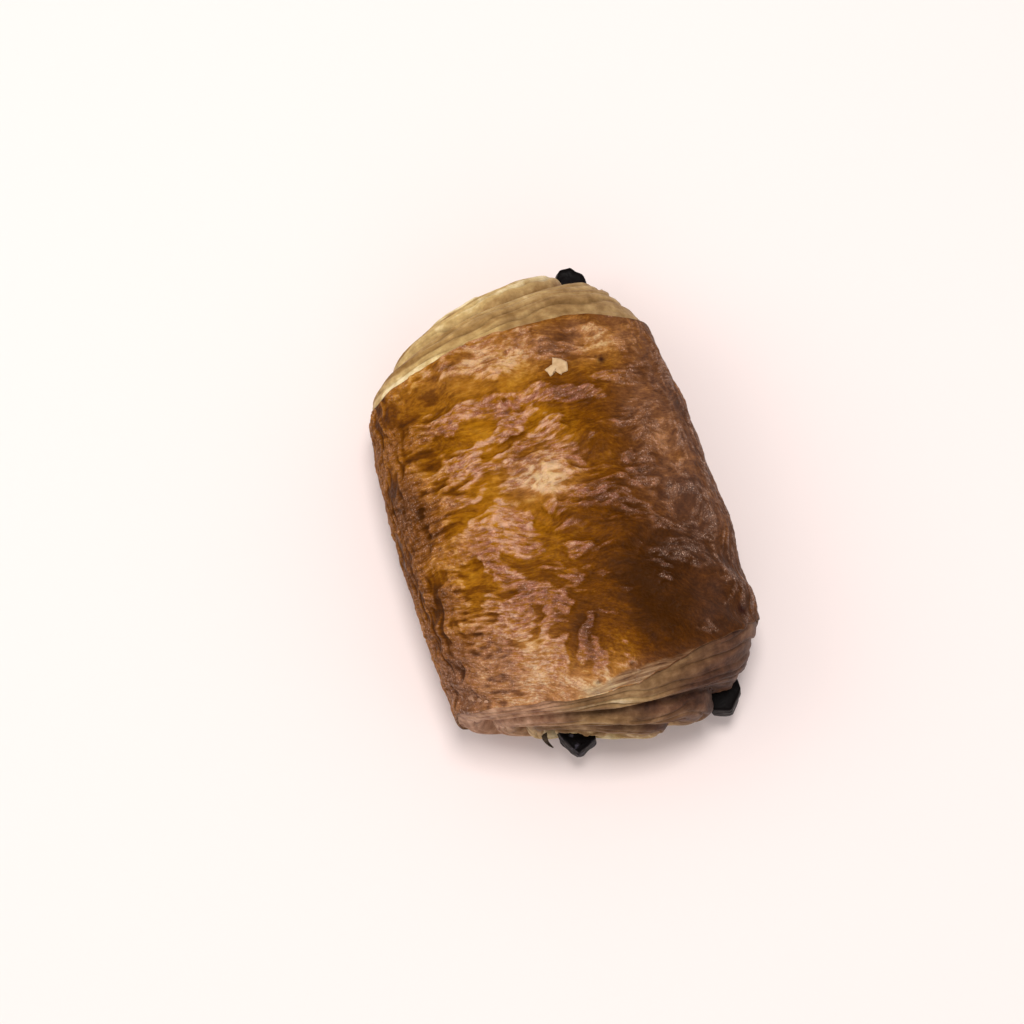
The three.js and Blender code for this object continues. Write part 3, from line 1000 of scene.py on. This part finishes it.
def crust_bumps(add, strand, grit, film):
    """The dried film's facets of about 1 mm by 0.6 mm with blisters between, and its coat's sharper ones."""
    fine = add("Mapping", {"Vector": strand, "Scale": (0.9, 1.6, 1)})
    wrinkles = add("TexNoise", {"Vector": fine, "Scale": 1.0, "Detail": 4.0, "Roughness": 0.65})
    bent = add("VectorMath", {0: wrinkles, "Scale": 1.2}, operation="SCALE")
    facets = add("VectorMath", {0: fine, 1: bent})
    facets = add("TexVoronoi", {"Vector": facets, "Scale": 1.0}, out="Distance")
    height = add("Math", {0: grit, 1: 0.7, 2: wrinkles}, operation="MULTIPLY_ADD")
    height = add("Math", {0: facets, 1: 0.5, 2: height}, operation="MULTIPLY_ADD")
    strength = add("MapRange", {0: film, 1: 0.0, 2: 1.0, 3: 0.3, 4: 0.85})
    bump = add("Bump", {"Height": height, "Strength": strength, "Distance": 0.7 * MM})
    return bump, add("Bump", {"Height": grit, "Strength": strength, "Distance": 0.6 * MM, "Normal": bump})


def crust_surface(add):
    # Laminated dough brushed with egg and baked: pooled egg wash dries to a clear amber varnish in the
    # valleys, and the blistered ridges stand out of it drier, tan on the flanks and with a painted rosy
    # sheen near the crown.
    raised, bake, rosy_sheen, dust_and_highlight, relief_shading, char, cut = (
        add("Attribute", out="Fac", attribute_name=field)
        for field in ("raised", "bake", "rosy_sheen", "dust_and_highlight", "relief_shading", "char", "cut")
    )
    place = add("TexCoord", out="Object")
    strand = add("Attribute", out="Vector", attribute_name="strand")
    # Streaks of browning about 3 mm long and 1 mm wide
    streaks = add("Mapping", {"Vector": strand, "Scale": (0.35, 1.0, 1)})
    streaks = add("TexNoise", {"Vector": streaks, "Scale": 1.0, "Detail": 5.0, "Roughness": 0.65})
    # Blisters of about 0.5 mm, drawn a little coarser than they are so that they show
    grit = add("TexNoise", {"Vector": place, "Scale": 1.6 / MM, "Detail": 3.0, "Roughness": 0.6})
    gritty = add("MapRange", {0: grit, 1: 0.3, 2: 0.7, 3: 0.06, 4: -0.06})
    film = dried_film(add, raised, streaks)
    tone = crust_tone(add, strand, streaks, bake)
    # Painted light and shade of the relief: crests lighter and hollows darker, more so on the ridges than
    # under the varnish
    ridge = add("Math", {0: relief_shading, 1: -0.3, 2: tone}, operation="MULTIPLY_ADD")
    ridge = add("Math", {0: ridge, 1: gritty}, operation="ADD", use_clamp=True)
    pool = add("Math", {0: relief_shading, 1: -0.22, 2: tone}, operation="MULTIPLY_ADD", use_clamp=True)
    varnish = add("ValToRGB", {0: pool}, stops=VARNISH)
    tan = add("ValToRGB", {0: ridge}, stops=TAN)
    rosy = add("ValToRGB", {0: ridge}, stops=ROSY_SHEEN)
    chalky = add("ValToRGB", {0: ridge}, stops=CHALKY)
    colour = add("Mix", {0: rosy_sheen, 6: tan, 7: rosy}, out=2, data_type="RGBA")
    colour = add("Mix", {0: film, 6: varnish, 7: colour}, out=2, data_type="RGBA")
    # Chalky dust, and the crown's painted highlight, in the chalky colours
    chalky_share = add("Math", {0: dust_and_highlight, 1: 0.72}, operation="MULTIPLY")
    colour = add("Mix", {0: chalky_share, 6: colour, 7: chalky}, out=2, data_type="RGBA")
    # Painted glints in a pale colour
    painted_glint = painted_glints(add, place, strand, film)
    colour = add("Mix", {0: painted_glint, 6: colour, 7: "e6bca0"}, out=2, data_type="RGBA")
    # Mottling of about 1.5 mm
    mottle = add("TexNoise", {"Vector": place, "Scale": 0.6 / MM, "Detail": 4.0, "Roughness": 0.65})
    light = add("MapRange", {0: mottle, 1: 0.3, 2: 0.7, 3: 0.86, 4: 1.14})
    colour = add("VectorMath", {0: colour, "Scale": light}, operation="SCALE")
    torn = torn_leaves(add, place, bake)
    colour = add("Mix", {0: cut, 6: colour, 7: torn}, out=2, data_type="RGBA")
    colour = add("Mix", {0: char, 6: colour, 7: "2c120c"}, out=2, data_type="RGBA")
    rough = add("MapRange", {0: raised, 1: 0.0, 2: 1.0, 3: 0.34, 4: 0.46})
    rough = add("Math", {0: dust_and_highlight, 1: 0.16, 2: rough}, operation="MULTIPLY_ADD")
    shine = add("MapRange", {0: rosy_sheen, 1: 0.0, 2: 0.8, 3: 0.15, 4: 0.9})
    coat = add("MapRange", {0: film, 1: 0.0, 2: 1.0, 3: 0.04, 4: shine})
    bump, sharp_bump = crust_bumps(add, strand, grit, film)
    return {
        "Base Color": colour,
        "Roughness": rough,
        "IOR": 1.45,
        "Specular IOR Level": 0.03,
        "Coat Weight": coat,
        "Coat Roughness": 0.12,
        "Coat IOR": 1.5,
        "Normal": bump,
        "Coat Normal": sharp_bump,
        "Subsurface Weight": 0.08,
        "Subsurface Radius": (1.0, 0.45, 0.2),
        "Subsurface Scale": 1.0 * MM,
    }


# The ends' colours, from the darkest to the palest leaf
SOFT = ((0.0, "84602e"), (0.35, "a88550"), (0.7, "c8aa70"), (1.0, "ead9ac"))
BROWNED = ((0.0, "3e2418"), (0.35, "60402d"), (0.7, "846249"), (1.0, "ab8e72"))
WRAPPED = ((0.3, "825840"), (0.5, "a47b5e"), (0.7, "c09a7e"))


def leaf_surface(add):
    # The same dough where the sheet was cut across: dry leaves with no egg wash, cream where they sat deep
    # and tan to brown where the oven reached them, browner still as painted shade at the near end and to the
    # right, with a brown line between one leaf and the next.
    pale, bake, line, crusted = (
        add("Attribute", out="Fac", attribute_name=field) for field in ("pale", "bake", "line", "crusted")
    )
    place = add("TexCoord", out="Object")
    strand = add("Attribute", out="Vector", attribute_name="strand")
    # Fibres about 3 mm long, four to a leaf, over clouds of about 3 mm and grit of about 0.8 mm
    streaks = add("Mapping", {"Vector": strand, "Scale": (0.3, 4.0, 1)})
    streaks = add("TexNoise", {"Vector": streaks, "Scale": 1.0, "Detail": 4.0, "Roughness": 0.6})
    mottle = add("TexNoise", {"Vector": place, "Scale": 0.35 / MM, "Detail": 4.0, "Roughness": 0.6})
    grit = add("TexNoise", {"Vector": place, "Scale": 1.2 / MM, "Detail": 3.0, "Roughness": 0.6})
    streaked = add("MapRange", {0: streaks, 1: 0.3, 2: 0.7, 3: -0.07, 4: 0.07})
    clouded = add("MapRange", {0: mottle, 1: 0.3, 2: 0.7, 3: -0.2, 4: 0.2})
    tone = add("Math", {0: pale, 1: streaked}, operation="ADD")
    tone = add("Math", {0: tone, 1: clouded}, operation="ADD", use_clamp=True)
    soft = add("ValToRGB", {0: tone}, stops=SOFT)
    browned = add("ValToRGB", {0: tone}, stops=BROWNED)
    colour = add("Mix", {0: bake, 6: soft, 7: browned}, out=2, data_type="RGBA")
    dark = add("Math", {0: line, 1: 0.7}, operation="MULTIPLY", use_clamp=True)
    colour = add("Mix", {0: dark, 6: colour, 7: "54391b"}, out=2, data_type="RGBA")
    # Where the crust wraps round on to the end it is rosy tan and hides the leaves
    crust = add("ValToRGB", {0: mottle}, stops=WRAPPED)
    colour = add("Mix", {0: crusted, 6: colour, 7: crust}, out=2, data_type="RGBA")
    light = add("MapRange", {0: mottle, 1: 0.3, 2: 0.7, 3: 0.88, 4: 1.12})
    colour = add("VectorMath", {0: colour, "Scale": light}, operation="SCALE")
    height = add("Math", {0: grit, 1: 0.6, 2: streaks}, operation="MULTIPLY_ADD")
    return {
        "Base Color": colour,
        "Roughness": 0.55,
        "IOR": 1.42,
        "Specular IOR Level": 0.2,
        "Normal": add("Bump", {"Height": height, "Strength": 0.6, "Distance": 0.3 * MM}),
        "Subsurface Weight": 0.12,
        "Subsurface Radius": (1.0, 0.6, 0.3),
        "Subsurface Scale": 1.5 * MM,
    }


def chocolate_surface(add, bloom_and_light):
    # Baking chocolate, cast as a bar and softened in the oven: almost black, a dull fatty sheen,
    # and a faint bluish bloom where it set again, paler on one bar as painted sheen and darker on the other
    # as painted shade.
    place = add("TexCoord", out="Object")
    cloud = add("TexNoise", {"Vector": place, "Scale": 0.4 / MM, "Detail": 4.0, "Roughness": 0.6})
    grit = add("TexNoise", {"Vector": place, "Scale": 1.4 / MM, "Detail": 3.0, "Roughness": 0.6})
    return {
        "Base Color": add("ValToRGB", {0: cloud}, stops=((0.35, "040101"), (0.55, "070303"), (0.75, bloom_and_light))),
        "Roughness": add("MapRange", {0: cloud, 1: 0.3, 2: 0.7, 3: 0.35, 4: 0.6}),
        "Specular IOR Level": 0.06,
        "Normal": add("Bump", {"Height": grit, "Strength": 0.5, "Distance": 0.2 * MM}),
    }


def scrap_surface(add):
    # A scrap of dry leaf: papery and matt, lighter and darker in clouds.
    place = add("TexCoord", out="Object")
    cloud = add("TexNoise", {"Vector": place, "Scale": 0.5 / MM, "Detail": 4.0, "Roughness": 0.6})
    return {
        "Base Color": add("ValToRGB", {0: cloud}, stops=((0.3, "a98457"), (0.5, "c3a177"), (0.7, "d3b68e"))),
        "Roughness": 0.6,
        "IOR": 1.42,
        "Normal": add("Bump", {"Height": cloud, "Strength": 0.4, "Distance": 0.3 * MM}),
    }


def splinter_surface(add):
    # The same dough scorched through: dull, dark and a little greenish.
    place = add("TexCoord", out="Object")
    cloud = add("TexNoise", {"Vector": place, "Scale": 0.8 / MM, "Detail": 4.0, "Roughness": 0.6})
    return {
        "Base Color": add("ValToRGB", {0: cloud}, stops=((0.35, "2a2018"), (0.6, "57493a"))),
        "Roughness": 0.7,
        "IOR": 1.42,
        "Specular IOR Level": 0.2,
    }


def floor_surface(_):
    # Plain paper: matt and off-white.
    return {"Base Color": "f4e8e6", "Roughness": 0.9}


# Assembly
def dress(piece, material, node):
    piece.data.materials.clear()
    piece.data.materials.append(material)
    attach(piece, "root")
    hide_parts(node)


crust_look = new_material("egg_washed_laminated_crust", crust_surface)
leaf_look = new_material("baked_laminated_edge", leaf_surface)
scrap_look = new_material("dry_dough_scrap", scrap_surface)
splinter_look = new_material("scorched_dough_splinter", splinter_surface)
crust_piece = make_crust()
dress(crust_piece, crust_look, "pastry")
dress(make_coil("near_coil", NEAR_END), leaf_look, "pastry")
dress(make_coil("far_coil", FAR_END), leaf_look, "pastry")
dress(make_fleck(crust_piece), scrap_look, "pastry")
dress(make_splinter(), splinter_look, "pastry")
# The left bar's paler bloom is partly painted sheen, and the right bar's darker one partly painted shade
for stick_name, stick_bloom_and_light in (("chocolate_left", "5c5864"), ("chocolate_right", "0f0a0c")):
    stick_surface = partial(chocolate_surface, bloom_and_light=stick_bloom_and_light)
    stick_look = new_material(stick_name + "_baking_chocolate", stick_surface)
    dress(make_stick(stick_name), stick_look, stick_name)

# Floor, light and camera
FLOOR_SIDE = 4
VIEW_AZIMUTH = math.radians(-18)
VIEW_ELEVATION = math.radians(78)
VIEW_DISTANCE = 600 * MM
PIXELS_PER_MM = 4.42
IMAGE_SIDE = 1024
SENSOR = 36
AIM = np.array([-7.8, 9.7, 1.2])  # the point of the roll's frame that the camera looks at

clear_selection()
bpy.ops.mesh.primitive_plane_add(size=FLOOR_SIDE)
floor = name_piece("floor")
floor.data.materials.append(new_material("pale_paper_floor", floor_surface))


def towards(azimuth, elevation):
    """The unit vector to a viewer or a light. Azimuth 0 is on the near side and 90 on the +X side."""
    level = math.cos(elevation)
    return np.array([math.sin(azimuth) * level, -math.cos(azimuth) * level, math.sin(elevation)])


def make_camera():
    back = towards(VIEW_AZIMUTH, VIEW_ELEVATION)
    bpy.ops.object.camera_add(location=placed(AIM) + back * VIEW_DISTANCE)
    camera = bpy.context.object
    camera.rotation_euler = (math.pi / 2 - VIEW_ELEVATION, 0, VIEW_AZIMUTH)
    camera.data.sensor_width = SENSOR
    camera.data.lens = PIXELS_PER_MM / MM * VIEW_DISTANCE * SENSOR / IMAGE_SIDE
    camera.data.clip_start = 0.01
    bpy.context.scene.camera = camera


def make_light(name, azimuth, elevation, distance, size, power, colour):
    """A square soft light that faces the roll."""
    azimuth, elevation = math.radians(azimuth), math.radians(elevation)
    bpy.ops.object.light_add(type="AREA", location=towards(azimuth, elevation) * distance)
    light = bpy.context.object
    light.name = name
    light.rotation_euler = (math.pi / 2 - elevation, 0, azimuth)
    light.data.shape = "SQUARE"
    light.data.size = size
    light.data.energy = power
    light.data.color = linear(colour)[:3]


make_camera()
make_light("overhead", 162, 83, 1.0, 0.25, 5.5, "fffaf6")
make_light("left_window", -115, 42, 1.2, 0.8, 2.7, "fffaf6")
make_light("front_fill", -15, 40, 1.5, 1.0, 2.2, "fffaf6")

world = bpy.data.worlds.new("studio")
world.use_nodes = True
world.node_tree.nodes["Background"].inputs["Color"].default_value = linear("fffbfa")
world.node_tree.nodes["Background"].inputs["Strength"].default_value = 0.55
bpy.context.scene.world = world
bpy.context.scene.view_settings.view_transform = "Standard"
